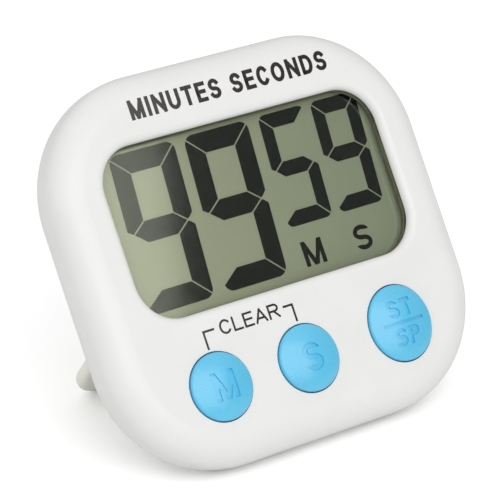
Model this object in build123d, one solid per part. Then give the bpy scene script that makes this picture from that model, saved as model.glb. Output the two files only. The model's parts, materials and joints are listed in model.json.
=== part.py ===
"""Countdown timer: a rounded-square desk timer that leans back on a fold-out stand.

Every piece is modelled in the face frame, in millimetres: x to the right across the face, y up the
face, z out of the face, with the middle of the body's outline at x = y = 0 and the flat face at
z = 0. The finished pieces are then turned and lifted so that the timer stands on z = 0, leaning back
on its opened stand, with its face towards -Y.
"""
from build123d import *
import math
import os

# ---------------------------------------------------------------- driving dimensions (mm, degrees)

BODY_WIDTH = 81.5
BODY_HEIGHT = 75.6
BODY_DEPTH = 14.5
BODY_CORNER = 23.4
FRONT_EDGE_RADIUS = 5.5
BACK_EDGE_RADIUS = 7.2
FRONT_WALL = 1.8
SIDE_WALL = 1.8
BACK_WALL = 1.5
PARTING_Z = -10.0
PARTING_GROOVE = 0.2

WINDOW_WIDTH = 61.9
WINDOW_HEIGHT = 33.3
WINDOW_CORNER = 8.0
WINDOW_X = 0.4
WINDOW_Y = 8.1
WINDOW_LIP_RADIUS = 1.45
LENS_TOP_Z = -1.55
LENS_MARGIN = 1.3
LENS_THICKNESS = 0.5

GASKET_THICKNESS = 0.5
GASKET_OVERLAP = 0.2
GASKET_DROP = 0.12
POLARISER_THICKNESS = 0.15
GLASS_THICKNESS = 0.55
SEGMENT_THICKNESS = 0.05
REFLECTOR_THICKNESS = 0.2
GLASS_WIDTH = 64.0
GLASS_TOP_Y = 26.2
GLASS_BOTTOM_Y = -11.5
CONTACT_LEDGE = 2.0
HOLDER_WALL = 1.2
HOLDER_OPENING = (48.0, 20.0)
ZEBRA_LENGTH = 54.0
ZEBRA_SPAN_Y = (GLASS_BOTTOM_Y + 0.2, GLASS_BOTTOM_Y + 1.8)

BIG_DIGIT = {"width": 14.4, "height": 30.3, "bar": 4.0, "post": 3.86, "corner": 1.9}
SMALL_DIGIT = {"width": 10.55, "height": 22.1, "bar": 2.9, "post": 2.7, "corner": 1.4}
DIGIT_SLANT = 0.066
SEGMENT_GAP = 0.27
BIG_DIGIT_X = (-20.19, -3.54)
BIG_DIGIT_Y = 8.65
SMALL_DIGIT_X = (11.77, 23.96)
SMALL_DIGIT_Y = 12.75
UNIT_LETTER_X = (9.62, 21.23)
UNIT_LETTER_Y = -3.95
UNIT_LETTER_HEIGHT = 4.9
UNIT_LETTER_STROKE = 0.9

BUTTON_GAP = 0.25
BUTTON_TRAVEL = 0.9
BUTTON_RIM_Z = 0.55
BUTTON_TOP_Z = 1.9
BUTTON_FLANGE = 1.25
BUTTON_FLANGE_GAP = 0.2
PLUNGER_TOP_Z = -3.2
PLUNGER_RADIUS = 3.0
PILL_THICKNESS = 0.4
PILL_CLEARANCE = 0.05
MAT_THICKNESS = 0.7
DOME_HOLE_RADIUS = 4.4
ENGRAVING_DEPTH = 0.3
KEY_LETTER_STROKE = 1.05
SMALL_LETTER_STROKE = 0.76
BUTTONS = {
    "minutes": {"x": -20.7, "y": -22.8, "hole": 6.68, "squeeze": 1.0},
    "seconds": {"x": -0.95, "y": -22.8, "hole": 6.68, "squeeze": 1.0},
    "start_stop": {"x": 20.8, "y": -21.9, "hole": 7.65, "squeeze": 0.935},
}

BOARD_TOP_Z = -6.6
BOARD_THICKNESS = 1.2
PAD_THICKNESS = 0.05
BOARD_WIDTH = 62.0
BOARD_TOP_Y = 12.0
BOARD_BOTTOM_Y = -33.5
BOARD_CORNER = 13.0
BOARD_SCREWS = ((-28.8, -14.4), (29.0, -14.2), (-10.8, -31.0), (9.9, -31.0))
CASE_SCREWS = ((-26.0, 30.2), (26.0, 30.2), (-35.2, -15.5), (35.2, -15.5))
SCREW_SEAT_Z = -12.4

PAD_ROW = {"count": 28, "first_x": -25.65, "pitch": 1.9, "width": 1.0}
KEY_PAD_RADIUS = 2.3
KEY_PAD_GAP = 0.3
BLOB = {"x": -15.0, "y": 3.5, "sphere": 15.0, "height": 1.3}
CRYSTAL = {"x": 1.0, "y": 5.0, "radius": 1.0, "length": 6.0}
COIL = {"x": 13.0, "y": 4.0, "radius": 3.0, "waist": 2.4, "height": 4.0, "flange": 0.7}
CAPACITORS = ((-4.0, 8.5), (3.0, 9.5), (8.0, 8.5))
CAPACITOR_SIZE = (2.0, 1.25, 1.0)
RESISTORS = ((-6.0, 0.5), (-2.0, 1.5), (7.0, 0.5), (20.0, 1.0))
RESISTOR_SIZE = (1.6, 0.8, 0.5)
TRANSISTORS = ((19.0, 6.0),)
TRANSISTOR_SIZE = (2.9, 1.4, 1.1)

CELL_RADIUS = 10.0
CELL_THICKNESS = 3.2
CELL_Y = -15.5
CELL_BACK_Z = -13.1
BAY_RADIUS = 10.45
BAY_FLOOR = 1.0
DOOR_RADIUS = 11.6
DOOR_GAP = 0.3
DOOR_INNER_Z = -13.2
DOOR_LUG_REACH = 1.0
DOOR_LUG_DEGREES = 24.0
DOOR_UNLOCK_DEGREES = 40.0
DOOR_SLOT_LENGTH = 15.0
DOOR_SLOT_WIDTH = 1.9
DOOR_SLOT_DEPTH = 0.8
MARK_SIZE = 1.9
MARK_DEPTH = 0.25
CONTACT_THICKNESS = 0.3

MAGNET_RADIUS = 7.0
MAGNET_THICKNESS = 2.2
MAGNET_PROUD = 0.3
MAGNETS = ((-24.0, 14.0), (24.0, 14.0))

BUZZER_Y = 20.0
BUZZER_RADIUS = 10.0
BUZZER_RING_WIDTH = 1.5
BUZZER_CERAMIC_RADIUS = 7.0
BUZZER_LAYERS_Z = (-12.5, -12.3, -12.1)
LEAD_DIAMETER = 0.8
CERAMIC_LEAD = (
    (3.0, 18.0, -12.1), (3.0, 18.0, -10.4), (4.4, 14.0, -9.6), (5.4, 10.5, -9.5), (5.4, 10.5, -7.8),
)
PLATE_LEAD = (
    (-3.5, 12.2, -12.3), (-3.5, 12.2, -10.8), (-5.0, 11.4, -9.5), (-6.6, 10.4, -9.3), (-6.6, 10.4, -7.8),
)
SOUND_HOLE_RADIUS = 0.8
SOUND_RING_RADIUS = 3.4

STAND_WIDTH = 58.0
STAND_LENGTH = 33.1
STAND_THICKNESS = 2.8
STAND_ARM = 6.5
STAND_FOOT = 7.0
STAND_CORNER = 8.0
STAND_EDGE_RADIUS = 1.2
STAND_OPEN_DEGREES = 71.4
HINGE_Y = -4.0
HINGE_Z = -12.95
HINGE_PIN_RADIUS = 1.0
HINGE_PIN_REACH = 1.5
RECESS_GAP = 0.3
RECESS_FLOOR_Z = -11.35
RECESS_SKIN = 1.2
RECESS_SIDE_WALL = 1.9

# ---------------------------------------------------------------- heights that follow from them

LENS_BACK_Z = LENS_TOP_Z - LENS_THICKNESS
GASKET_BACK_Z = LENS_BACK_Z - GASKET_THICKNESS
FRONT_GLASS_Z = GASKET_BACK_Z - POLARISER_THICKNESS
SEGMENT_Z = FRONT_GLASS_Z - GLASS_THICKNESS
REAR_GLASS_Z = SEGMENT_Z - SEGMENT_THICKNESS
REFLECTOR_Z = REAR_GLASS_Z - GLASS_THICKNESS
HOLDER_Z = REFLECTOR_Z - REFLECTOR_THICKNESS
BOARD_BACK_Z = BOARD_TOP_Z - BOARD_THICKNESS
BACK_Z = -BODY_DEPTH
CAVITY_BACK_Z = BACK_Z + BACK_WALL
CELL_FRONT_Z = CELL_BACK_Z + CELL_THICKNESS
BAY_FLOOR_Z = CELL_FRONT_Z + CONTACT_THICKNESS
PILL_BACK_Z = BOARD_TOP_Z + PAD_THICKNESS + BUTTON_TRAVEL + PILL_CLEARANCE
PLUNGER_BACK_Z = PILL_BACK_Z + PILL_THICKNESS
MAT_TOP_Z = BOARD_TOP_Z + MAT_THICKNESS


# ---------------------------------------------------------------- small helpers

def plate(width, height, corner, low, high, x=0.0, y=0.0):
    """A flat plate with rounded corners between two heights."""
    return extrude(Pos(x, y, low) * RectangleRounded(width, height, corner), amount=high - low)


def block(x_low, x_high, y_low, y_high, low, high):
    """A plain rectangular block between two heights."""
    outline = Rectangle(x_high - x_low, y_high - y_low)
    return extrude(Pos((x_low + x_high) / 2, (y_low + y_high) / 2, low) * outline, amount=high - low)


def disc(radius, low, high, x=0.0, y=0.0):
    """A round plate or post between two heights."""
    return extrude(Pos(x, y, low) * Circle(radius), amount=high - low)


def ring(outer, inner, low, high, x=0.0, y=0.0):
    """A flat ring between two heights."""
    return disc(outer, low, high, x, y) - disc(inner, low, high, x, y)


def body_form(inset, low, high, front_radius, back_radius):
    """The body's pillow shape, shrunk by an inset, with rounded front and back edges."""
    form = plate(BODY_WIDTH - 2 * inset, BODY_HEIGHT - 2 * inset, BODY_CORNER - inset, low, high)
    if front_radius > 0:
        form = fillet(form.edges().group_by(Axis.Z)[-1], front_radius)
    if back_radius > 0:
        form = fillet(form.edges().group_by(Axis.Z)[0], back_radius)
    return form


def path_face(start, *steps):
    """A flat face from straight steps (a point) and curved steps (a point passed and an end point)."""
    edges = []
    here = start
    for step in steps:
        if isinstance(step[0], tuple):
            edges.append(ThreePointArc(here, step[0], step[1]))
            here = step[1]
        else:
            edges.append(Line(here, step))
            here = step
    edges.append(Line(here, start))
    return make_face(edges)


def stroke(curve, thickness):
    """A pen stroke of constant thickness along one flat curve."""
    return trace(curve, thickness)


# ---------------------------------------------------------------- letters and digits

def letter(name, width, height, thickness):
    """A capital M, S, T or P in plain strokes, centred on the origin."""
    half = thickness / 2
    right = width - half
    top = height - half
    middle = width / 2
    if name == "M":
        face = stroke(Line((half, 0), (half, height)), thickness)
        face += stroke(Line((right, 0), (right, height)), thickness)
        face += stroke(Line((half, height), (middle, 0)), thickness)
        face += stroke(Line((right, height), (middle, 0)), thickness)
    elif name == "S":
        bowl = (height + thickness) / 4
        oval = Ellipse(middle, bowl) - Ellipse(middle - thickness, bowl - thickness)
        upper_cut = Pos(middle, -bowl * 0.72) * Rectangle(width, bowl * 2)
        lower_cut = Pos(-middle, bowl * 0.72) * Rectangle(width, bowl * 2)
        face = Pos(middle, height - bowl) * (oval - upper_cut)
        face += Pos(middle, bowl) * (oval - lower_cut)
    elif name == "T":
        face = stroke(Line((0, top), (width, top)), thickness)
        face += stroke(Line((middle, 0), (middle, height)), thickness)
    else:
        bowl = (height * 0.56 - thickness) / 2
        face = stroke(Line((half, 0), (half, height)), thickness)
        face += stroke(Line((half, top), (right - bowl, top)), thickness)
        face += stroke(Line((half, top - 2 * bowl), (right - bowl, top - 2 * bowl)), thickness)
        face += stroke(
            ThreePointArc((right - bowl, top), (right, top - bowl), (right - bowl, top - 2 * bowl)),
            thickness,
        )
    face = face & (Pos(middle, height / 2) * Rectangle(width, height))
    return Pos(-middle, -height / 2) * face


def digit(size, lit, x, y):
    """The lit segments of one slanted seven-segment digit, as flat faces.

    Segments are lettered clockwise from the top: a, b, c, d, e, f, and g in the middle. They meet
    on mitre lines, which thin gaps then cut open.
    """
    half_width = size["width"] / 2
    half_height = size["height"] / 2
    bar = size["bar"]
    post = size["post"]
    corner = size["corner"]
    bow = corner * (1 - math.cos(math.pi / 4))
    end_x = corner * (1 - math.cos(math.radians(36)))
    end_y = corner * (1 - math.sin(math.radians(36)))
    inner_x = half_width - post
    inner_y = half_height - bar
    tip_x = half_width - 0.33 * post

    def at(px, py):
        return (px + DIGIT_SLANT * py, py)

    def rounded(side, end):
        """The outer corner's arc as two spans: from the post to the mitre, and on to the bar."""
        on_post = at(side * half_width, end * (half_height - corner))
        low_bow = (corner - end_y) * 0.55
        low_mid = at(side * (half_width - end_x * 0.3), end * (half_height - corner + low_bow))
        mitre = at(side * (half_width - end_x), end * (half_height - end_y))
        high_mid = at(side * (half_width - corner * 0.55), end * (half_height - bow * 0.42))
        on_bar = at(side * (half_width - corner), end * half_height)
        return on_post, low_mid, mitre, high_mid, on_bar

    faces = {}
    top_left = rounded(-1, 1)
    top_right = rounded(1, 1)
    low_right = rounded(1, -1)
    faces["a"] = path_face(
        at(-inner_x, inner_y), top_left[2], (top_left[3], top_left[4]),
        top_right[4], (top_right[3], top_right[2]), at(inner_x, inner_y),
    )
    faces["b"] = path_face(
        at(inner_x, inner_y), top_right[2], (top_right[1], top_right[0]),
        at(half_width, bar * 0.33), at(tip_x, 0.0), at(inner_x, bar / 2),
    )
    faces["c"] = path_face(
        at(inner_x, -bar / 2), at(tip_x, 0.0), at(half_width, -bar * 0.28),
        low_right[0], (low_right[1], low_right[2]), at(inner_x, -inner_y),
    )
    faces["d"] = path_face(
        at(inner_x, -inner_y), low_right[2], (low_right[3], low_right[4]),
        at(-half_width + post * 0.62, -half_height),
        (at(-half_width + post * 0.27, -half_height + bar * 0.12),
         at(-half_width + post * 0.11, -half_height + bar * 0.36)),
        at(-inner_x, -inner_y),
    )
    faces["f"] = path_face(
        at(-inner_x, inner_y), top_left[2], (top_left[1], top_left[0]),
        at(-half_width, bar * 0.2), at(-tip_x, 0.0), at(-inner_x, bar / 2),
    )
    faces["g"] = path_face(
        at(-inner_x, bar / 2), at(inner_x, bar / 2), at(tip_x, 0.0),
        at(inner_x, -bar / 2), at(-inner_x, -bar / 2), at(-tip_x, 0.0),
    )
    mitres = (
        (at(-inner_x, inner_y), top_left[2]),
        (at(inner_x, inner_y), top_right[2]),
        (at(inner_x, -inner_y), low_right[2]),
        (at(-inner_x, bar / 2), at(-tip_x, 0.0)),
        (at(inner_x, bar / 2), at(tip_x, 0.0)),
        (at(inner_x, -bar / 2), at(tip_x, 0.0)),
    )
    gaps = Sketch()
    for inside, outside in mitres:
        reach = (outside[0] - inside[0]) * 0.12, (outside[1] - inside[1]) * 0.12
        start = (inside[0] - reach[0], inside[1] - reach[1])
        end = (outside[0] + reach[0], outside[1] + reach[1])
        gaps += stroke(Line(start, end), SEGMENT_GAP)
    return [Pos(x, y) * (faces[name] - gaps) for name in lit]


# ---------------------------------------------------------------- case

def window_plate(grow, low, high, drop=0.0):
    """A plate with the window's outline, grown or shrunk all round."""
    return plate(
        WINDOW_WIDTH + 2 * grow, WINDOW_HEIGHT + 2 * grow, WINDOW_CORNER + grow, low, high,
        WINDOW_X, WINDOW_Y - drop,
    )


def button_form(button, radius, low, high):
    """A round post for a button, squeezed sideways where the button is oval."""
    post = disc(radius, low, high)
    if button["squeeze"] != 1.0:
        post = scale(post, by=(button["squeeze"], 1, 1))
    return Pos(button["x"], button["y"]) * post


def front_case():
    """The deep front shell: face, side walls, window, button holes, bosses and display ribs."""
    shell = body_form(0, BACK_Z, 0, FRONT_EDGE_RADIUS, BACK_EDGE_RADIUS)
    shell -= block(-BODY_WIDTH, BODY_WIDTH, -BODY_HEIGHT, BODY_HEIGHT, BACK_Z - 1, PARTING_Z)
    shell -= body_form(SIDE_WALL, BACK_Z, -FRONT_WALL, FRONT_EDGE_RADIUS - SIDE_WALL, 0)

    shell -= window_plate(0, -FRONT_WALL - 1, 0)
    rim = [edge for edge in shell.edges() if abs(edge.center().Z) < 0.01
           and abs(edge.center().Y - WINDOW_Y) < WINDOW_HEIGHT / 2 + 0.1
           and abs(edge.center().X - WINDOW_X) < WINDOW_WIDTH / 2 + 0.1]
    shell = fillet(rim, WINDOW_LIP_RADIUS)
    shell -= window_plate(LENS_MARGIN + 0.1, -FRONT_WALL, LENS_TOP_Z)

    for button in BUTTONS.values():
        shell -= button_form(button, button["hole"], -FRONT_WALL - 1, 1)
    rib_inner = 0.3
    rib_outer = 1.3
    glass_height = GLASS_TOP_Y - GLASS_BOTTOM_Y
    glass_y = (GLASS_TOP_Y + GLASS_BOTTOM_Y) / 2
    rib = plate(GLASS_WIDTH + 2 * rib_outer, glass_height + 2 * rib_outer, 2.0,
                HOLDER_Z, -FRONT_WALL, WINDOW_X, glass_y)
    rib -= plate(GLASS_WIDTH + 2 * rib_inner, glass_height + 2 * rib_inner, 1.0,
                 HOLDER_Z, -FRONT_WALL, WINDOW_X, glass_y)
    shell += rib
    for x, y in CASE_SCREWS:
        shell += disc(2.6, PARTING_Z, -FRONT_WALL, x, y)
        shell -= disc(1.03, PARTING_Z, -4.6, x, y)
    for x, y in BOARD_SCREWS:
        shell += disc(2.0, BOARD_TOP_Z, -FRONT_WALL, x, y)
        shell -= disc(0.83, BOARD_TOP_Z, -2.4, x, y)
    return shell


def stand_outline(grow, top_grow):
    """The folded stand's U outline, seen from the face, grown all round for its recess."""
    tip_y = HINGE_Y - STAND_LENGTH
    end_y = HINGE_Y + STAND_THICKNESS / 2 + top_grow
    tall = 2 * (end_y - tip_y)
    outer = Pos(0, end_y) * RectangleRounded(STAND_WIDTH + 2 * grow, tall + 2 * grow, STAND_CORNER + grow)
    inner_width = STAND_WIDTH - 2 * STAND_ARM - 2 * grow
    inner_low = tip_y + STAND_FOOT + grow
    inner = Pos(0, end_y) * RectangleRounded(
        inner_width, 2 * (end_y - inner_low), max(STAND_CORNER - STAND_ARM + 2.5 - grow, 1.0))
    above = Pos(0, end_y + BODY_HEIGHT / 2) * Rectangle(BODY_WIDTH, BODY_HEIGHT)
    return outer - inner - above


def bay_form():
    """The battery bay's outside: a cup for the cell with a wider collar for the door's lugs."""
    collar = DOOR_RADIUS + DOOR_GAP + DOOR_LUG_REACH + 1.2
    cup = disc(BAY_RADIUS + 1.2, CAVITY_BACK_Z, BAY_FLOOR_Z + BAY_FLOOR, 0, CELL_Y)
    return cup + disc(collar, CAVITY_BACK_Z, DOOR_INNER_Z + 1.9, 0, CELL_Y)


def lug_sector(radius, low, high, spread, turn):
    """Three equal sectors of a disc, for the door's lugs and the notches that let them in."""
    sectors = Part()
    for index in range(3):
        middle = math.radians(90 + 120 * index + turn)
        half = math.radians(spread / 2)
        first = (radius * math.cos(middle - half), radius * math.sin(middle - half))
        centre = (radius * math.cos(middle), radius * math.sin(middle))
        last = (radius * math.cos(middle + half), radius * math.sin(middle + half))
        face = path_face((0.0, 0.0), first, (centre, last))
        sectors += extrude(Pos(0, CELL_Y, low) * face, amount=high - low)
    return sectors


def index_mark(radius, angle, point_out):
    """A small sunk triangle beside the battery door's rim, which points outwards or inwards."""
    tip = MARK_SIZE * 0.6 if point_out else -MARK_SIZE * 0.6
    triangle = path_face((0.0, tip), (-MARK_SIZE / 2, -tip / 2), (MARK_SIZE / 2, -tip / 2))
    prism = extrude(Pos(0, radius, 0) * triangle, amount=MARK_DEPTH)
    return Pos(0, CELL_Y, BACK_Z) * Rot(0, 0, angle) * prism


def battery_bay_cut():
    """The bay's inside: the cell's room, the lugs' channel, the door's opening and its notches."""
    channel_radius = DOOR_RADIUS + DOOR_GAP + DOOR_LUG_REACH
    cut = disc(BAY_RADIUS, DOOR_INNER_Z, BAY_FLOOR_Z, 0, CELL_Y)
    cut += disc(channel_radius, DOOR_INNER_Z - 0.1, DOOR_INNER_Z + 0.8, 0, CELL_Y)
    cut += disc(DOOR_RADIUS + DOOR_GAP, BACK_Z, DOOR_INNER_Z, 0, CELL_Y)
    cut += lug_sector(channel_radius, BACK_Z, DOOR_INNER_Z, DOOR_LUG_DEGREES + 5, DOOR_UNLOCK_DEGREES)
    cut += block(0.7, 2.3, CELL_Y - 0.3, CELL_Y + 0.3, BAY_FLOOR_Z, BAY_FLOOR_Z + BAY_FLOOR)
    cut += block(BAY_RADIUS - 0.5, BAY_RADIUS + 0.05, CELL_Y - 1.1, CELL_Y + 1.1,
                 BAY_FLOOR_Z, BAY_FLOOR_Z + BAY_FLOOR)
    return cut


def rear_case():
    """The back cover: stand recess, battery bay, magnet pockets, sound holes and screw wells."""
    outside = body_form(0, BACK_Z, 0, 0, BACK_EDGE_RADIUS)
    shell = outside - body_form(SIDE_WALL, CAVITY_BACK_Z, 0, 0, BACK_EDGE_RADIUS - SIDE_WALL)
    shell -= block(-BODY_WIDTH, BODY_WIDTH, -BODY_HEIGHT, BODY_HEIGHT, PARTING_Z, 1)
    groove = block(-BODY_WIDTH, BODY_WIDTH, -BODY_HEIGHT, BODY_HEIGHT, PARTING_Z - PARTING_GROOVE, PARTING_Z)
    shell -= groove - body_form(1.0, BACK_Z, 0, 0, 0)

    lip = body_form(SIDE_WALL + 0.1, PARTING_Z - 1.0, PARTING_Z + 1.2, 0, 0)
    lip -= body_form(SIDE_WALL + 1.1, PARTING_Z - 1.0, PARTING_Z + 1.2, 0, 0)
    shell += lip

    recess_wall = extrude(
        Pos(0, 0, CAVITY_BACK_Z) * stand_outline(RECESS_GAP + RECESS_SIDE_WALL, RECESS_GAP + 1.2),
        amount=RECESS_FLOOR_Z + RECESS_SKIN - CAVITY_BACK_Z)
    shell += recess_wall & outside
    shell += bay_form()
    for x, y in MAGNETS:
        shell += disc(MAGNET_RADIUS + 1.3, CAVITY_BACK_Z, magnet_front_z() + 1.2, x, y)
    for x, y in CASE_SCREWS:
        post = disc(3.3, CAVITY_BACK_Z, PARTING_Z, x, y) & outside
        shell += post

    shell -= extrude(Pos(0, 0, BACK_Z) * stand_outline(RECESS_GAP, RECESS_GAP), amount=RECESS_FLOOR_Z - BACK_Z)
    pin_span = STAND_WIDTH + 2 * HINGE_PIN_REACH + 0.4
    shell -= Pos(0, HINGE_Y, HINGE_Z) * Rot(0, 90, 0) * Cylinder(HINGE_PIN_RADIUS + 0.05, pin_span)
    shell -= battery_bay_cut()
    for x, y in MAGNETS:
        shell -= disc(MAGNET_RADIUS + 0.1, BACK_Z, magnet_front_z(), x, y)
    for x, y in CASE_SCREWS:
        shell -= disc(2.3, BACK_Z, SCREW_SEAT_Z, x, y)
        shell -= disc(1.2, SCREW_SEAT_Z, PARTING_Z, x, y)
        shell -= disc(2.9, PARTING_Z, PARTING_Z + 1.2, x, y)
    mark_radius = DOOR_RADIUS + DOOR_GAP + DOOR_LUG_REACH + MARK_SIZE
    for angle in (0, DOOR_UNLOCK_DEGREES):
        shell -= index_mark(mark_radius, angle, False)
    shell -= disc(SOUND_HOLE_RADIUS, BACK_Z, CAVITY_BACK_Z, 0, BUZZER_Y)
    for index in range(6):
        angle = math.radians(60 * index)
        shell -= disc(SOUND_HOLE_RADIUS, BACK_Z, CAVITY_BACK_Z,
                      SOUND_RING_RADIUS * math.cos(angle), BUZZER_Y + SOUND_RING_RADIUS * math.sin(angle))
    return shell


def magnet_front_z():
    """The height of a magnet pocket's floor."""
    return BACK_Z - MAGNET_PROUD + MAGNET_THICKNESS


# ---------------------------------------------------------------- display

def display_lens():
    """The clear lens behind the window's rolled lip."""
    return window_plate(LENS_MARGIN, LENS_BACK_Z, LENS_TOP_Z)


def display_gasket():
    """The dark foam frame between the lens and the display."""
    frame = window_plate(LENS_MARGIN, GASKET_BACK_Z, LENS_BACK_Z)
    return frame - window_plate(-GASKET_OVERLAP, GASKET_BACK_Z, LENS_BACK_Z, GASKET_DROP)


def film(low, high):
    """A display film: a little larger than the window and square-cornered."""
    return plate(WINDOW_WIDTH + 1.2, WINDOW_HEIGHT + 1.2, 0.5, low, high, WINDOW_X, WINDOW_Y)


def glass_plate(bottom_y, low, high):
    """One of the display's two glass plates, from a bottom edge up to their shared top edge."""
    half = GLASS_WIDTH / 2
    return block(WINDOW_X - half, WINDOW_X + half, bottom_y, GLASS_TOP_Y, low, high)


def display_front_glass():
    """The front glass, whose lower edge overhangs the rear glass and carries the contacts."""
    return glass_plate(GLASS_BOTTOM_Y, SEGMENT_Z, FRONT_GLASS_Z)


def display_rear_glass():
    """The rear glass, shorter by the contact ledge."""
    return glass_plate(GLASS_BOTTOM_Y + CONTACT_LEDGE, REFLECTOR_Z, REAR_GLASS_Z)


def display_segments():
    """The dark segments and unit letters, showing 99 minutes 59 seconds."""
    faces = []
    for x in BIG_DIGIT_X:
        faces += digit(BIG_DIGIT, "abcdfg", x, BIG_DIGIT_Y)
    faces += digit(SMALL_DIGIT, "acdfg", SMALL_DIGIT_X[0], SMALL_DIGIT_Y)
    faces += digit(SMALL_DIGIT, "abcdfg", SMALL_DIGIT_X[1], SMALL_DIGIT_Y)
    for name, x, width in (("M", UNIT_LETTER_X[0], 4.7), ("S", UNIT_LETTER_X[1], 3.8)):
        mark = letter(name, width, UNIT_LETTER_HEIGHT, UNIT_LETTER_STROKE)
        faces.append(Pos(x, UNIT_LETTER_Y) * mark)
    solids = [extrude(Pos(0, 0, REAR_GLASS_Z) * face, amount=SEGMENT_THICKNESS) for face in faces]
    return Compound(children=solids)


def display_holder():
    """The tray that presses the display against the front case and stands on the board."""
    low_y = GLASS_BOTTOM_Y + CONTACT_LEDGE + 0.7
    high_y = GLASS_TOP_Y - 0.1
    left = WINDOW_X - GLASS_WIDTH / 2 + 0.1
    right = WINDOW_X + GLASS_WIDTH / 2 - 0.1
    wall = HOLDER_WALL
    tray = block(left, right, low_y, high_y, BOARD_TOP_Z + 0.05, HOLDER_Z)
    tray -= block(left + wall, right - wall, low_y + wall, high_y - wall, BOARD_TOP_Z, HOLDER_Z - 1.0)
    tray -= plate(*HOLDER_OPENING, 3.0, BOARD_TOP_Z, HOLDER_Z, WINDOW_X, (low_y + high_y) / 2)
    return tray


def zebra_connector():
    """The striped rubber strip that joins the display's contacts to the board."""
    half = ZEBRA_LENGTH / 2
    return block(-half, half, *ZEBRA_SPAN_Y, BOARD_TOP_Z + PAD_THICKNESS, SEGMENT_Z)


# ---------------------------------------------------------------- board

def circuit_board():
    """The board, behind the keys and the lower part of the display."""
    height = BOARD_TOP_Y - BOARD_BOTTOM_Y
    board = plate(BOARD_WIDTH, height, BOARD_CORNER, BOARD_BACK_Z, BOARD_TOP_Z,
                  y=(BOARD_TOP_Y + BOARD_BOTTOM_Y) / 2)
    board += block(-BOARD_WIDTH / 2, BOARD_WIDTH / 2, 0, BOARD_TOP_Y, BOARD_BACK_Z, BOARD_TOP_Z)
    for x, y in BOARD_SCREWS:
        board -= disc(1.0, BOARD_BACK_Z, BOARD_TOP_Z, x, y)
    board -= block(0.6, 2.4, CELL_Y - 0.3, CELL_Y + 0.3, BOARD_BACK_Z, BOARD_TOP_Z)
    board -= block(BAY_RADIUS - 0.5, BAY_RADIUS + 0.1, CELL_Y - 1.1, CELL_Y + 1.1,
                   BOARD_BACK_Z, BOARD_TOP_Z)
    return board


def board_pads():
    """The gold contact pads: a row for the zebra strip and a split pair under each key."""
    pads = []
    high = BOARD_TOP_Z + PAD_THICKNESS
    half = PAD_ROW["width"] / 2
    for index in range(PAD_ROW["count"]):
        x = PAD_ROW["first_x"] + PAD_ROW["pitch"] * index
        pads.append(block(x - half, x + half, *ZEBRA_SPAN_Y, BOARD_TOP_Z, high))
    reach = KEY_PAD_RADIUS + 1
    for button in BUTTONS.values():
        x, y = button["x"], button["y"]
        pad = disc(KEY_PAD_RADIUS, BOARD_TOP_Z, high, x, y)
        pads.append(pad & block(x - reach, x - KEY_PAD_GAP / 2, y - reach, y + reach, BOARD_TOP_Z, high))
        pads.append(pad & block(x + KEY_PAD_GAP / 2, x + reach, y - reach, y + reach, BOARD_TOP_Z, high))
    return Compound(children=pads)


def chip_blob():
    """The resin blob over the bare chip."""
    radius = BLOB["sphere"]
    dome = Pos(BLOB["x"], BLOB["y"], BOARD_BACK_Z + radius - BLOB["height"]) * Sphere(radius)
    return dome & disc(radius, BOARD_BACK_Z - 2 * BLOB["height"], BOARD_BACK_Z, BLOB["x"], BLOB["y"])


def quartz_crystal():
    """The small can of the quartz crystal, lying on the board."""
    can = Rot(0, 90, 0) * Cylinder(CRYSTAL["radius"], CRYSTAL["length"])
    can = Pos(CRYSTAL["x"], CRYSTAL["y"], BOARD_BACK_Z - CRYSTAL["radius"] - 0.05) * can
    return fillet(can.edges(), CRYSTAL["radius"] / 4)


def chip_parts(places, size):
    """A group of equal surface-mount parts on the back of the board."""
    length, width, height = size
    parts = []
    for x, y in places:
        chip = block(x - length / 2, x + length / 2, y - width / 2, y + width / 2,
                     BOARD_BACK_Z - height, BOARD_BACK_Z)
        parts.append(fillet(chip.edges().filter_by(Axis.Z), 0.12))
    return Compound(children=parts)


def boost_coil():
    """The drum coil that raises the buzzer's voltage."""
    low = BOARD_BACK_Z - COIL["height"]
    place = (COIL["x"], COIL["y"])
    coil = disc(COIL["radius"], low, low + COIL["flange"], *place)
    coil += disc(COIL["waist"], low + COIL["flange"], BOARD_BACK_Z - COIL["flange"], *place)
    return coil + disc(COIL["radius"], BOARD_BACK_Z - COIL["flange"], BOARD_BACK_Z, *place)


# ---------------------------------------------------------------- keys

def button_cap(button):
    """A domed cap with its skirt, retaining flange and central post, turned about its own axis."""
    radius = button["hole"] - BUTTON_GAP
    rise = BUTTON_TOP_Z - BUTTON_RIM_Z
    sphere = (radius ** 2 + rise ** 2) / (2 * rise)
    dome_centre = BUTTON_TOP_Z - sphere
    flange_top = -FRONT_WALL - BUTTON_FLANGE_GAP
    flange_low = flange_top - 0.8
    skirt = radius - 1.2
    edge = 0.4

    def on_dome(x):
        return (x, dome_centre + math.sqrt(sphere ** 2 - x ** 2))

    half_section = path_face(
        (0.0, PLUNGER_TOP_Z), (0.0, BUTTON_TOP_Z),
        (on_dome(radius / 2), on_dome(radius - edge)),
        ((radius - 0.1, BUTTON_RIM_Z - 0.05), (radius, BUTTON_RIM_Z - edge)),
        (radius, flange_top), (radius + BUTTON_FLANGE, flange_top),
        (radius + BUTTON_FLANGE, flange_low), (skirt, flange_low), (skirt, -0.5),
        (2.2, -0.5), (2.2, PLUNGER_TOP_Z),
    )
    cap = Rot(90, 0, 0) * revolve(half_section, Axis.Y)
    if button["squeeze"] != 1.0:
        cap = scale(cap, by=(button["squeeze"], 1, 1))
    return Pos(button["x"], button["y"]) * cap, sphere, dome_centre


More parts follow.
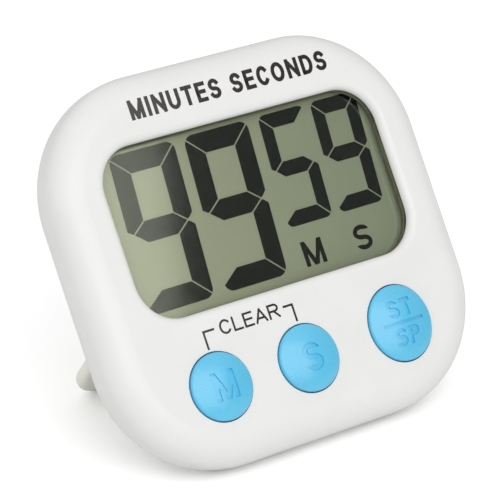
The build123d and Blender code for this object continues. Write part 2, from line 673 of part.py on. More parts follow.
def engraved(button, marks):
    """A button cap with marks sunk into its dome by an even depth."""
    cap, sphere, dome_centre = button_cap(button)
    floor = Sphere(sphere - ENGRAVING_DEPTH)
    if button["squeeze"] != 1.0:
        floor = scale(floor, by=(button["squeeze"], 1, 1))
    floor = Pos(button["x"], button["y"], dome_centre) * floor
    for mark in marks:
        prism = extrude(Pos(button["x"], button["y"], BUTTON_RIM_Z - 0.5) * mark, amount=3)
        cap -= prism - floor
    return cap


def minutes_button():
    """The left button, marked M."""
    return engraved(BUTTONS["minutes"], [letter("M", 5.0, 5.4, KEY_LETTER_STROKE)])


def seconds_button():
    """The middle button, marked S."""
    return engraved(BUTTONS["seconds"], [letter("S", 4.0, 5.4, KEY_LETTER_STROKE)])


def start_stop_button():
    """The right button, marked ST over SP with a bar between them."""
    marks = [Rectangle(9.2, 0.6)]
    for first, second, y in (("S", "T", 2.75), ("S", "P", -2.75)):
        marks.append(Pos(-1.55, y) * letter(first, 2.5, 3.4, SMALL_LETTER_STROKE))
        marks.append(Pos(1.55, y) * letter(second, 2.5, 3.4, SMALL_LETTER_STROKE))
    return engraved(BUTTONS["start_stop"], marks)


def key_plunger(button):
    """The moving silicone stem of one key."""
    return disc(PLUNGER_RADIUS, PLUNGER_BACK_Z, PLUNGER_TOP_Z, button["x"], button["y"])


def carbon_pill(button):
    """The conductive pill at the end of a key's stem."""
    return disc(2.0, PILL_BACK_Z, PLUNGER_BACK_Z, button["x"], button["y"])


def rubber_dome(button):
    """The thin skirt that springs a key back and folds when it is pressed."""
    profile = Polyline(
        (DOME_HOLE_RADIUS, 0, MAT_TOP_Z), (DOME_HOLE_RADIUS, 0, MAT_TOP_Z - 0.4),
        (PLUNGER_RADIUS, 0, MAT_TOP_Z + 1.1), (PLUNGER_RADIUS, 0, MAT_TOP_Z + 1.5), close=True)
    return Pos(button["x"], button["y"]) * revolve(make_face(profile), Axis.Z)


def keypad_mat():
    """The silicone sheet on the board that the three domes belong to."""
    mat = plate(60.0, 20.5, 9.0, BOARD_TOP_Z + PAD_THICKNESS, MAT_TOP_Z, y=-22.6)
    for button in BUTTONS.values():
        mat -= disc(DOME_HOLE_RADIUS, BOARD_TOP_Z, MAT_TOP_Z, button["x"], button["y"])
    for x, y in BOARD_SCREWS:
        mat -= disc(2.3, BOARD_TOP_Z, MAT_TOP_Z, x, y)
    return mat


# ---------------------------------------------------------------- fasteners

def screws(places, seat, tip, head_radius, head_height, shank_radius):
    """A group of equal cross-head screws driven from the back."""
    group = []
    for x, y in places:
        head = disc(head_radius, seat - head_height, seat, x, y)
        head = fillet(head.edges().group_by(Axis.Z)[0], head_height * 0.45)
        for angle in (0, 90):
            slot = Box(head_radius * 1.25, head_radius * 0.28, head_height * 0.6)
            head -= Pos(x, y, seat - head_height + head_height * 0.3) * Rot(0, 0, angle + 20) * slot
        shank = disc(shank_radius, seat, tip, x, y)
        shank = chamfer(shank.edges().group_by(Axis.Z)[-1], shank_radius * 0.5)
        group.append(head + shank)
    return Compound(children=group)


# ---------------------------------------------------------------- battery

def battery_cell():
    """A 20 mm coin cell, with its narrow minus face towards the board."""
    can = disc(CELL_RADIUS, CELL_BACK_Z, CELL_FRONT_Z - 0.4, 0, CELL_Y)
    can = fillet(can.edges().group_by(Axis.Z)[0], 0.4)
    cap = disc(CELL_RADIUS - 1.4, CELL_FRONT_Z - 0.4, CELL_FRONT_Z, 0, CELL_Y)
    return can + cap


def battery_contact_minus():
    """The flat contact under the cell, with its tab through the board."""
    strip = plate(13.0, 4.0, 1.5, CELL_FRONT_Z, BAY_FLOOR_Z, y=CELL_Y)
    return strip + block(0.8, 2.2, CELL_Y - 0.15, CELL_Y + 0.15, BAY_FLOOR_Z, BOARD_TOP_Z - 0.1)


def battery_contact_plus():
    """The curved side contact, with its tab through the board."""
    outer = BAY_RADIUS - 0.05
    inner = CELL_RADIUS + 0.05
    band = ring(outer, inner, CELL_BACK_Z + 0.6, BAY_FLOOR_Z - 0.05, 0, CELL_Y)
    band = band & block(8.5, outer + 1, CELL_Y - 4.5, CELL_Y + 4.5, CELL_BACK_Z, BAY_FLOOR_Z)
    tab = block(inner + 0.02, outer - 0.03, CELL_Y - 0.9, CELL_Y + 0.9,
                BAY_FLOOR_Z - 0.4, BOARD_TOP_Z - 0.1)
    return band + tab


def battery_door():
    """The round door with three locking lugs and a slot for a coin."""
    door = disc(DOOR_RADIUS, BACK_Z, DOOR_INNER_Z, 0, CELL_Y)
    door = fillet(door.edges().group_by(Axis.Z)[0], 0.3)
    lugs = lug_sector(DOOR_RADIUS + DOOR_LUG_REACH, DOOR_INNER_Z, DOOR_INNER_Z + 0.7, DOOR_LUG_DEGREES, 0)
    door += lugs - disc(BAY_RADIUS + 0.15, DOOR_INNER_Z, DOOR_INNER_Z + 0.7, 0, CELL_Y)
    slot = SlotOverall(DOOR_SLOT_LENGTH, DOOR_SLOT_WIDTH)
    door -= extrude(Pos(0, CELL_Y, BACK_Z) * slot, amount=DOOR_SLOT_DEPTH)
    door -= index_mark(DOOR_RADIUS - MARK_SIZE, 0, True)
    return door


# ---------------------------------------------------------------- magnets and leads

def magnet(x, y):
    """A disc magnet, a little proud of the back."""
    body = disc(MAGNET_RADIUS, BACK_Z - MAGNET_PROUD, magnet_front_z(), x, y)
    return fillet(body.edges().group_by(Axis.Z)[0], 0.25)


def wire(points, diameter):
    """A lead: straight runs joined by arcs, each as large as its two runs allow."""
    radii = []
    for before, here, after in zip(points, points[1:], points[2:]):
        run_in = Vector(*here) - Vector(*before)
        run_out = Vector(*after) - Vector(*here)
        turn = math.radians(run_in.get_angle(run_out))
        radii.append(0.45 * min(run_in.length, run_out.length) / math.tan(turn / 2))
    route = FilletPolyline(*points, radius=radii)
    section = Plane(origin=route @ 0, z_dir=route % 0) * Circle(diameter / 2)
    return sweep(section, path=route)


# ---------------------------------------------------------------- stand

def stand_folded():
    """The U-shaped stand as it lies in its recess."""
    low = HINGE_Z - STAND_THICKNESS / 2
    blank = extrude(Pos(0, 0, low) * stand_outline(0, -STAND_THICKNESS / 2), amount=STAND_THICKNESS)
    rims = [edge for edge in blank.edges()
            if abs(abs(edge.center().Z - HINGE_Z) - STAND_THICKNESS / 2) < 0.01
            and edge.center().Y < HINGE_Y - 0.1]
    blank = fillet(rims, STAND_EDGE_RADIUS)
    arm_middle = (STAND_WIDTH - STAND_ARM) / 2
    for side in (-1, 1):
        knuckle = Cylinder(STAND_THICKNESS / 2, STAND_ARM)
        pin = Cylinder(HINGE_PIN_RADIUS, HINGE_PIN_REACH + 1)
        blank += Pos(side * arm_middle, HINGE_Y, HINGE_Z) * Rot(0, 90, 0) * knuckle
        pin_middle = side * (STAND_WIDTH / 2 + (HINGE_PIN_REACH - 1) / 2)
        blank += Pos(pin_middle, HINGE_Y, HINGE_Z) * Rot(0, 90, 0) * pin
    return blank


def stand_open():
    """The stand swung out to its stop."""
    turn = Pos(0, HINGE_Y, HINGE_Z) * Rot(STAND_OPEN_DEGREES, 0, 0) * Pos(0, -HINGE_Y, -HINGE_Z)
    return turn * stand_folded()


def lean_degrees():
    """How far the face leans back when the case's lower back edge and the stand's foot share a floor."""
    opened = math.radians(STAND_OPEN_DEGREES)
    reach = STAND_LENGTH - STAND_EDGE_RADIUS
    offset = STAND_EDGE_RADIUS - STAND_THICKNESS / 2
    foot_y = HINGE_Y - reach * math.cos(opened) + offset * math.sin(opened)
    foot_z = HINGE_Z - reach * math.sin(opened) - offset * math.cos(opened)
    rise = -BODY_HEIGHT / 2 + BACK_EDGE_RADIUS - foot_y
    depth = BACK_Z + BACK_EDGE_RADIUS - foot_z
    drop = BACK_EDGE_RADIUS - STAND_EDGE_RADIUS
    return math.degrees(math.atan2(depth, rise) - math.acos(drop / math.hypot(rise, depth)))


# ---------------------------------------------------------------- assembly

def face_frame_parts():
    """Every piece in the face frame, by node name."""
    parts = {
        "front_case": front_case(),
        "rear_case": rear_case(),
        "display_lens": display_lens(),
        "display_gasket": display_gasket(),
        "display_polariser": film(FRONT_GLASS_Z, GASKET_BACK_Z),
        "display_front_glass": display_front_glass(),
        "display_segments": display_segments(),
        "display_rear_glass": display_rear_glass(),
        "display_reflector": film(HOLDER_Z, REFLECTOR_Z),
        "display_holder": display_holder(),
        "zebra_connector": zebra_connector(),
        "circuit_board": circuit_board(),
        "board_pads": board_pads(),
        "chip_blob": chip_blob(),
        "quartz_crystal": quartz_crystal(),
        "chip_capacitors": chip_parts(CAPACITORS, CAPACITOR_SIZE),
        "chip_resistors": chip_parts(RESISTORS, RESISTOR_SIZE),
        "buzzer_transistor": chip_parts(TRANSISTORS, TRANSISTOR_SIZE),
        "boost_coil": boost_coil(),
        "keypad_mat": keypad_mat(),
        "minutes_button": minutes_button(),
        "seconds_button": seconds_button(),
        "start_stop_button": start_stop_button(),
        "board_screws": screws(BOARD_SCREWS, BOARD_BACK_Z, -3.4, 1.6, 0.9, 0.8),
        "case_screws": screws(CASE_SCREWS, SCREW_SEAT_Z, -5.2, 1.95, 1.3, 1.0),
        "battery_cell": battery_cell(),
        "battery_contact_minus": battery_contact_minus(),
        "battery_contact_plus": battery_contact_plus(),
        "battery_door": battery_door(),
        "buzzer_adhesive_ring": ring(BUZZER_RADIUS, BUZZER_RADIUS - BUZZER_RING_WIDTH,
                                     CAVITY_BACK_Z, BUZZER_LAYERS_Z[0], 0, BUZZER_Y),
        "buzzer_plate": disc(BUZZER_RADIUS, BUZZER_LAYERS_Z[0], BUZZER_LAYERS_Z[1], 0, BUZZER_Y),
        "buzzer_ceramic": disc(BUZZER_CERAMIC_RADIUS, BUZZER_LAYERS_Z[1], BUZZER_LAYERS_Z[2], 0, BUZZER_Y),
        "buzzer_lead_ceramic": wire(CERAMIC_LEAD, LEAD_DIAMETER),
        "buzzer_lead_plate": wire(PLATE_LEAD, LEAD_DIAMETER),
        "left_magnet": magnet(*MAGNETS[0]),
        "right_magnet": magnet(*MAGNETS[1]),
        "stand": stand_open(),
    }
    for name, button in BUTTONS.items():
        parts[f"{name}_plunger"] = key_plunger(button)
        parts[f"{name}_carbon_pill"] = carbon_pill(button)
        parts[f"{name}_rubber_dome"] = rubber_dome(button)
    return parts


def standing(parts):
    """The turn and lift from the face frame to the timer standing on z = 0."""
    turn = Rot(90 - lean_degrees(), 0, 0)
    box = Compound(children=[turn * part for part in parts.values()]).bounding_box()
    return Pos(0, -(box.min.Y + box.max.Y) / 2, -box.min.Z) * turn


def main():
    os.makedirs("parts", exist_ok=True)
    parts = face_frame_parts()
    place = standing(parts)
    for name, part in parts.items():
        export_step(place * part, f"parts/{name}.step")


main()
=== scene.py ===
"""The looks of a rounded-square countdown timer that leans back on its fold-out stand.

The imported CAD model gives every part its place. This script gives the parts their materials, adds the
printed legends and the display's clear stack, and sets the floor, the lights and the camera.
Lengths are in metres unless a name ends in _MM or a comment says millimetres. The face frame is x right,
y up and z out of the face, with its origin at the middle of the body's outline, on the flat face.
"""
import json
import math

import bmesh
import bpy
from mathutils import Matrix, Vector


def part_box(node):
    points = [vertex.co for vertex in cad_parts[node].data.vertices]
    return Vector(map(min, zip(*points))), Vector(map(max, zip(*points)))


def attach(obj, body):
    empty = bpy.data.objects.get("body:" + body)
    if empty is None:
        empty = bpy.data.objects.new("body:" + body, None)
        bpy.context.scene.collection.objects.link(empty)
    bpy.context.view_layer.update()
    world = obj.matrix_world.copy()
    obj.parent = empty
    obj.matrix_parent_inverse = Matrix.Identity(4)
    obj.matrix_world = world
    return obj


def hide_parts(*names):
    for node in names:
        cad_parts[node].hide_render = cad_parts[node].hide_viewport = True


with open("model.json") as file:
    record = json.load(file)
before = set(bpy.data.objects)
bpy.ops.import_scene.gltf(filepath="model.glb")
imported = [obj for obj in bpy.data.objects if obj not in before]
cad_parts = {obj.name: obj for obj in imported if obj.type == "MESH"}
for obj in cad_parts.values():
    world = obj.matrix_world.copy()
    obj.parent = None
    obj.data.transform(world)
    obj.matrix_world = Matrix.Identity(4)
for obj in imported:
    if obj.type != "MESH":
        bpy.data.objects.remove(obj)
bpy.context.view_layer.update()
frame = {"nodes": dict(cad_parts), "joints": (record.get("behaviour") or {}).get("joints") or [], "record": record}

# ---------------------------------------------------------------- driving values

MM = 0.001

WINDOW_WIDTH_MM = 61.9
WINDOW_HEIGHT_MM = 33.3
WINDOW_X_MM = 0.4
WINDOW_Y_MM = 8.1
LENS_MIDDLE_Z_MM = -1.8
POLARISER_FRONT_Z_MM = -2.55
SEGMENT_FRONT_Z_MM = -3.25
STACK_MARGIN_MM = 0.6          # how far the clear stack reaches past the window on each side
STACK_GAP_MM = 0.02            # air between the clear stack and the segments

# Legends: sizes and middles in millimetres, in the face frame. "squeeze" narrows or widens each letter, and
# "space" is the width of a word space before the letters are spread.
INK_THICKNESS_MM = 0.03
TITLE = {"text": "MINUTES SECONDS", "height": 3.83, "stroke": 0.78, "width": 44.6, "x": 1.57, "y": 30.7,
         "squeeze": 0.93, "space": 1.2}
CLEAR = {"text": "CLEAR", "height": 2.8, "stroke": 0.41, "width": 13.4, "x": -10.45, "y": -12.5,
         "squeeze": 1.2, "space": 0}
BRACKET_STROKE_MM = 0.42
BRACKET_TOP_Y_MM = -12.3
LEFT_BRACKET = {"corner_x": -20.7, "arm_x": -18.5, "low_y": -15.5}
RIGHT_BRACKET = {"corner_x": -0.75, "arm_x": -2.6, "low_y": -15.4}
SHARPEST_MITRE = 0.3           # limits how far a pen stroke's corner may stick out

# Features per metre of the patterns that the plastics share, and the depth of their grain.
CLOUD_SCALE = 90.0
GLOSS_SCALE = 350.0
GRAIN_DEPTH = 0.00004
BRUSHED_STRETCH = (1.0, 0.06, 0.06)

# The film's colour at its left end, and the dark colour that painted shade and the grain move it towards.
LCD_LIGHT = (0.61, 0.605, 0.495)
LCD_DARK = (0.36, 0.38, 0.315)
LCD_PAINTED_SHADE = 0.85                # painted shade: how much of the way to dark the film goes, from left to right
LCD_SPECKLE = 0.15             # how much the film's grain adds
DISPLAY_ROUGHNESS = 0.06

FLOOR_HALF = 4.0
FLOOR_WHITE = (0.88, 0.88, 0.88)
FLOOR_SEEN = (1.3, 1.3, 1.3)
FLOOR_MOTTLE = 1.01

# Places and directions of the lights are in the face frame.
KEY_LIGHT = {"middle": (-0.21, 0.10, 1.1), "width": 1.6, "height": 1.0, "tilt": -13.0, "radiance": 1.25}
HORIZON_LEVEL = 0.46
ZENITH_LEVEL = 1.02
LEFT_SHARE = 1.15
RIGHT_SHARE = 0.62
DARK_GAP_DIRECTION = (0.56, 0.06, 0.83)
DARK_GAP_LEVEL = 0.13
DARK_GAP_DEGREES = 8.0
DARK_GAP_EDGE_DEGREES = 4.0

CAMERA_TARGET = Vector((-1.13, 0.58, 32.85)) * MM
CAMERA_DISTANCE = 0.5494
CAMERA_AZIMUTH = -34.63
CAMERA_ELEVATION = 25.26
CAMERA_ROLL = -0.36
CAMERA_LENS_MM = 208.9
CAMERA_SENSOR_MM = 36.0


# ---------------------------------------------------------------- the face frame

def face_frame():
    """The face frame as a matrix, from the minutes key's direction and the lens's middle."""
    inwards = next(joint["axis"] for joint in frame["joints"] if joint["name"] == "minutes_press")
    out = -Vector(inwards).normalized()
    right = Vector((1, 0, 0))
    up = out.cross(right)
    low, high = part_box("display_lens")
    turn = Matrix((right, up, out)).transposed()
    origin = (low + high) / 2 - turn @ (Vector((WINDOW_X_MM, WINDOW_Y_MM, LENS_MIDDLE_Z_MM)) * MM)
    return Matrix.Translation(origin) @ turn.to_4x4()


FACE = face_frame()


def add_object(name, mesh, material, body):
    """A new piece from a mesh in face-frame millimetres, placed and tied to its body."""
    mesh.transform(FACE @ Matrix.Scale(MM, 4))
    mesh.update()
    mesh.materials.append(material)
    piece = bpy.data.objects.new(name, mesh)
    bpy.context.scene.collection.objects.link(piece)
    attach(piece, body)
    return piece


# ---------------------------------------------------------------- material building blocks

def feed(tree, value, socket):
    """Gives a socket its value: another node's output, a number or a colour."""
    if isinstance(value, bpy.types.NodeSocket):
        tree.links.new(value, socket)
    elif isinstance(value, tuple):
        socket.default_value = (*value, 1)
    else:
        socket.default_value = value


def empty_material(name):
    """A new material with no shader yet, and its tree, surface socket and object coordinates."""
    material = bpy.data.materials.new(name)
    material.use_nodes = True
    tree = material.node_tree
    tree.nodes.clear()
    surface = tree.nodes.new("ShaderNodeOutputMaterial").inputs["Surface"]
    place = tree.nodes.new("ShaderNodeTexCoord").outputs["Object"]
    return material, tree, surface, place


def start_material(name):
    """A new material with a Principled shader, and its tree, shader and object coordinates."""
    material, tree, surface, place = empty_material(name)
    shader = tree.nodes.new("ShaderNodeBsdfPrincipled")
    feed(tree, shader.outputs["BSDF"], surface)
    return material, tree, shader, place


def noise(tree, place, scale, detail=3.0, roughness=0.55):
    """A noise pattern; scale is in features per metre."""
    node = tree.nodes.new("ShaderNodeTexNoise")
    node.inputs["Scale"].default_value = scale
    node.inputs["Detail"].default_value = detail
    node.inputs["Roughness"].default_value = roughness
    feed(tree, place, node.inputs["Vector"])
    return node.outputs["Fac"]


def spread(tree, value, low, high, from_low=0.3, from_high=0.7):
    """A value's range moved to another range."""
    node = tree.nodes.new("ShaderNodeMapRange")
    node.inputs["From Min"].default_value = from_low
    node.inputs["From Max"].default_value = from_high
    node.inputs["To Min"].default_value = low
    node.inputs["To Max"].default_value = high
    feed(tree, value, node.inputs["Value"])
    return node.outputs["Result"]


def mixed(tree, factor, first, second, kind="RGBA"):
    """A colour between two colours or, with the kind FLOAT, a number between two numbers."""
    node = tree.nodes.new("ShaderNodeMix")
    node.data_type = kind
    feed(tree, factor, node.inputs["Factor"])
    feed(tree, first, node.inputs["A"])
    feed(tree, second, node.inputs["B"])
    return node.outputs["Result"]


def worked_out(tree, operation, first, second):
    """The result of an operation of the Math node on two values."""
    node = tree.nodes.new("ShaderNodeMath")
    node.operation = operation
    feed(tree, first, node.inputs[0])
    feed(tree, second, node.inputs[1])
    return node.outputs["Value"]


def seen_by_camera(tree):
    """One for what the camera sees directly, and zero for the light that falls on things."""
    return tree.nodes.new("ShaderNodeLightPath").outputs["Is Camera Ray"]


def bump(tree, shader, height, strength, distance):
    """Relief on a shader from a height pattern."""
    node = tree.nodes.new("ShaderNodeBump")
    node.inputs["Strength"].default_value = strength
    node.inputs["Distance"].default_value = distance
    feed(tree, height, node.inputs["Height"])
    feed(tree, node.outputs["Normal"], shader.inputs["Normal"])


def shaded(colour, factor):
    """A colour made darker or lighter."""
    return tuple(channel * factor for channel in colour)


def moulded(name, colour, roughness, grain=2600.0, relief=0.05, variation=0.03, mirror=0.5):
    """Moulded plastic: a fine even grain, faint flow clouds and uneven roughness."""
    material, tree, shader, place = start_material(name)
    clouds = spread(tree, noise(tree, place, CLOUD_SCALE, 2.0), 0.0, 1.0)
    feed(tree, mixed(tree, clouds, shaded(colour, 1 - variation), colour), shader.inputs["Base Color"])
    uneven = spread(tree, noise(tree, place, GLOSS_SCALE), roughness - 0.04, roughness + 0.05)
    feed(tree, uneven, shader.inputs["Roughness"])
    bump(tree, shader, noise(tree, place, grain, 2.0), relief, GRAIN_DEPTH)
    shader.inputs["Specular IOR Level"].default_value = mirror
    return material


def metal(name, colour, roughness, brushed=False):
    """Plated or brushed metal, with fine scratches along one direction where it is brushed."""
    material, tree, shader, place = start_material(name)
    stretch = tree.nodes.new("ShaderNodeMapping")
    stretch.inputs["Scale"].default_value = BRUSHED_STRETCH if brushed else (1.0, 1.0, 1.0)
    feed(tree, place, stretch.inputs["Vector"])
    marks = noise(tree, stretch.outputs["Vector"], 9000.0 if brushed else 1500.0, 4.0)
    tone = spread(tree, marks, 0.0, 1.0)
    feed(tree, mixed(tree, tone, shaded(colour, 0.82), colour), shader.inputs["Base Color"])
    feed(tree, spread(tree, marks, roughness, roughness + 0.15), shader.inputs["Roughness"])
    bump(tree, shader, marks, 0.12, 0.00003)
    shader.inputs["Metallic"].default_value = 1.0
    return material


def clear_film(name, tint, roughness=0.05):
    """A clear plate: light passes straight through, and mirrors only at a grazing angle."""
    material, tree, surface, place = empty_material(name)
    through = tree.nodes.new("ShaderNodeBsdfTransparent")
    glossy = tree.nodes.new("ShaderNodeBsdfGlossy")
    blend = tree.nodes.new("ShaderNodeMixShader")
    facing = tree.nodes.new("ShaderNodeLayerWeight")
    facing.inputs["Blend"].default_value = 0.5
    through.inputs["Color"].default_value = (*tint, 1)
    uneven = spread(tree, noise(tree, place, 900.0), roughness, roughness + 0.03)
    feed(tree, uneven, glossy.inputs["Roughness"])
    feed(tree, worked_out(tree, "POWER", facing.outputs["Facing"], 5.0), blend.inputs["Fac"])
    feed(tree, through.outputs["BSDF"], blend.inputs[1])
    feed(tree, glossy.outputs["BSDF"], blend.inputs[2])
    feed(tree, blend.outputs["Shader"], surface)
    return material


# ---------------------------------------------------------------- materials of the parts

def white_case_material():
    """White ABS with a satin moulded skin."""
    return moulded("white_case", (0.815, 0.815, 0.797), 0.34)


def stand_material():
    """The stand's slightly warmer white plastic, made lighter than the case's white as painted light for the shade
    the stand sits in.
    """
    return moulded("white_stand", (0.90, 0.90, 0.82), 0.4, relief=0.08)


def key_material():
    """The keys' blue plastic, glossier than the case."""
    return moulded("blue_key", (0.095, 0.54, 0.82), 0.26, 3200.0, relief=0.06, variation=0.05, mirror=1.0)


def display_gloss(shader):
    """The mirror gloss that the display's polished front gives whatever lies behind it."""
    shader.inputs["Specular IOR Level"].default_value = 1.0
    shader.inputs["Coat Weight"].default_value = 1.0
    shader.inputs["Coat IOR"].default_value = 1.65
    shader.inputs["Coat Roughness"].default_value = DISPLAY_ROUGHNESS


def lcd_background_material():
    """The grey-green display film, with its faint grain and painted shade that makes it darker towards the right.
    """
    material, tree, shader, place = start_material("lcd_background")
    across = tree.nodes.new("ShaderNodeSeparateXYZ")
    feed(tree, place, across.inputs["Vector"])
    half = WINDOW_WIDTH_MM * MM / 2
    # Painted shade: the film darkens from its left edge to its right edge.
    lean = spread(tree, across.outputs["X"], 0.0, LCD_PAINTED_SHADE, -half, half)
    speckle = spread(tree, noise(tree, place, 6000.0, 2.0), 0.0, LCD_SPECKLE)
    painted_shade_and_grain = worked_out(tree, "ADD", lean, speckle)
    feed(tree, mixed(tree, painted_shade_and_grain, LCD_LIGHT, LCD_DARK), shader.inputs["Base Color"])
    gloss = spread(tree, noise(tree, place, 400.0), DISPLAY_ROUGHNESS, DISPLAY_ROUGHNESS + 0.02)
    feed(tree, gloss, shader.inputs["Roughness"])
    display_gloss(shader)
    return material


def segment_material():
    """Dark liquid-crystal segments, a touch uneven in density."""
    material, tree, shader, place = start_material("dark_segments")
    density = noise(tree, place, 500.0, 2.0)
    tone = spread(tree, density, 0.0, 1.0)
    feed(tree, mixed(tree, tone, (0.008, 0.008, 0.010), (0.013, 0.013, 0.015)), shader.inputs["Base Color"])
    gloss = spread(tree, density, DISPLAY_ROUGHNESS, DISPLAY_ROUGHNESS + 0.02)
    feed(tree, gloss, shader.inputs["Roughness"])
    display_gloss(shader)
    return material


def ink_material():
    """Printed ink: dark and glossy, with a slightly uneven coat."""
    material, tree, shader, place = start_material("printed_ink")
    coat = noise(tree, place, 2500.0, 4.0)
    tone = spread(tree, coat, 0.0, 1.0)
    feed(tree, mixed(tree, tone, (0.010, 0.007, 0.006), (0.022, 0.016, 0.014)), shader.inputs["Base Color"])
    feed(tree, spread(tree, coat, 0.12, 0.2), shader.inputs["Roughness"])
    shader.inputs["Specular IOR Level"].default_value = 1.0
    bump(tree, shader, coat, 0.05, 0.00001)
    return material


def plain_parts_materials():
    """One material for each slot of the parts that the case hides or half hides."""
    return {
        # The foam frame round the display is a real part, but its olive darkness is also painted shade for the
        # dark band inside the window's top and right edges.
        "dark_foam": moulded("dark_foam", (0.19, 0.195, 0.125), 0.8, 4000.0, 0.4, 0.3),
        "black_plastic": moulded("black_plastic", (0.02, 0.02, 0.02), 0.5),
        "striped_silicone": moulded("striped_silicone", (0.42, 0.38, 0.36), 0.6),
        "board_green": moulded("board_green", (0.02, 0.16, 0.06), 0.3),
        "gold_pads": metal("gold_pads", (0.83, 0.62, 0.25), 0.25),
        "black_resin": moulded("black_resin", (0.02, 0.02, 0.02), 0.35, 900.0, 0.2),
        "bright_tin": metal("bright_tin", (0.78, 0.78, 0.75), 0.25),
        "tan_ceramic": moulded("tan_ceramic", (0.50, 0.36, 0.22), 0.5),
        "black_ceramic": moulded("black_ceramic", (0.04, 0.04, 0.04), 0.5),
        "ferrite": moulded("ferrite", (0.07, 0.065, 0.06), 0.6, 2000.0, 0.3),
        "grey_silicone": moulded("grey_silicone", (0.32, 0.33, 0.34), 0.65),
        "zinc_steel": metal("zinc_steel", (0.70, 0.70, 0.68), 0.28),
        "cell_steel": metal("cell_steel", (0.74, 0.74, 0.73), 0.24, brushed=True),
        "foam_tape": moulded("foam_tape", (0.80, 0.80, 0.76), 0.9, 3000.0, 0.5),
        "buzzer_brass": metal("buzzer_brass", (0.80, 0.60, 0.28), 0.24, brushed=True),
        "white_ceramic": moulded("white_ceramic", (0.82, 0.80, 0.75), 0.4),
        "red_insulation": moulded("red_insulation", (0.50, 0.03, 0.03), 0.4),
        "black_insulation": moulded("black_insulation", (0.02, 0.02, 0.02), 0.4),
        "magnet_nickel": metal("magnet_nickel", (0.70, 0.70, 0.68), 0.16, brushed=True),
        "carbon_rubber": moulded("carbon_rubber", (0.03, 0.03, 0.03), 0.8),
    }


def dress_parts():
    """Gives every CAD part its finished material."""
    materials = plain_parts_materials()
    materials["white_case"] = white_case_material()
    materials["white_stand"] = stand_material()
    materials["blue_key"] = key_material()
    materials["lcd_background"] = lcd_background_material()
    materials["dark_segments"] = segment_material()
    materials["clear_lens"] = clear_film("clear_lens", (0.97, 0.98, 0.96))
    materials["polariser_film"] = clear_film("polariser_film", (0.97, 0.98, 0.95))
    materials["display_glass"] = materials["lcd_background"]
    for part in frame["record"]["subparts"]:
        for slot in frame["nodes"][part["node"]].material_slots:
            slot.material = materials[part["material_slot"]]
    return materials


# ---------------------------------------------------------------- printed letters

def arc(x, y, width, height, start, end, steps=20):
    """Points of an elliptical arc in a letter's unit cell; angles in degrees."""
    points = []
    for index in range(steps + 1):
        angle = math.radians(start + (end - start) * index / steps)
        points.append((x + width * math.cos(angle), y + height * math.sin(angle)))
    return points


# Each letter has its width as a share of the cap height, and its pen strokes in a unit cell.
LETTERS = {
    "A": (0.80, [[(0, 0), (0.5, 1)], [(0.5, 1), (1, 0)], [(0.2, 0.3), (0.8, 0.3)]]),
    "C": (0.76, [arc(0.5, 0.5, 0.5, 0.5, 42, 318)]),
    "D": (0.74, [[(0, 0), (0, 1), (0.45, 1)] + arc(0.45, 0.5, 0.55, 0.5, 80, -80) + [(0.45, 0), (0, 0)]]),
    "E": (0.64, [[(1, 1), (0, 1), (0, 0), (1, 0)], [(0, 0.52), (0.92, 0.52)]]),
    "I": (0.22, [[(0.5, 0), (0.5, 1)]]),
    "L": (0.62, [[(0, 1), (0, 0), (1, 0)]]),
    "M": (0.88, [[(0, 0), (0, 1)], [(0, 1), (0.5, 0)], [(0.5, 0), (1, 1)], [(1, 1), (1, 0)]]),
    "N": (0.76, [[(0, 0), (0, 1)], [(0, 1), (1, 0)], [(1, 0), (1, 1)]]),
    "O": (0.82, [arc(0.5, 0.5, 0.5, 0.5, 0, 180), arc(0.5, 0.5, 0.5, 0.5, 180, 360)]),
    "R": (0.74, [[(0, 0), (0, 1)],
                 [(0, 1), (0.6, 1)] + arc(0.6, 0.75, 0.36, 0.25, 80, -80) + [(0.6, 0.5), (0, 0.5)],
                 [(0.5, 0.5), (1, 0)]]),
    "S": (0.70, [arc(0.5, 0.75, 0.46, 0.25, 25, 180, 12) + arc(0.5, 0.75, 0.46, 0.25, 190, 262, 6)
                 + arc(0.5, 0.25, 0.5, 0.25, 82, -100, 16) + arc(0.5, 0.25, 0.5, 0.25, -110, -155, 5)]),
    "T": (0.68, [[(0, 1), (1, 1)], [(0.5, 1), (0.5, 0)]]),
    "U": (0.74, [[(0, 1), (0, 0.36)] + arc(0.5, 0.36, 0.5, 0.36, 190, 350) + [(1, 0.36), (1, 1)]]),
}


def prism(outline, low, high):
    """A closed prism over a flat outline."""
    form = bmesh.new()
    base = [form.verts.new((x, y, low)) for x, y in outline]
    face = form.faces.new(base)
    top = bmesh.ops.extrude_face_region(form, geom=[face])["geom"]
    moved = [item for item in top if isinstance(item, bmesh.types.BMVert)]
    bmesh.ops.translate(form, verts=moved, vec=(0, 0, high - low))
    bmesh.ops.recalc_face_normals(form, faces=form.faces)
    mesh = bpy.data.meshes.new("prism")
    form.to_mesh(mesh)
    form.free()
    return mesh


def pen_stroke(points, thickness):
    """The outline of a pen stroke of even thickness, with mitred turns and square ends."""
    half = thickness / 2
    path = [Vector(point) for point in points]
    path[0] = path[0] - (path[1] - path[0]).normalized() * half
    path[-1] = path[-1] + (path[-1] - path[-2]).normalized() * half
    left = []
    right = []
    for index, here in enumerate(path):
        before = (here - path[index - 1]).normalized() if index > 0 else None
        after = (path[index + 1] - here).normalized() if index < len(path) - 1 else None
        first = before or after
        second = after or before
        side = Vector((-first.y - second.y, first.x + second.x)).normalized()
        reach = half / max(side.dot(Vector((-first.y, first.x))), SHARPEST_MITRE)
        left.append(tuple(here + side * reach))
        right.append(tuple(here - side * reach))
    return left + right[::-1]


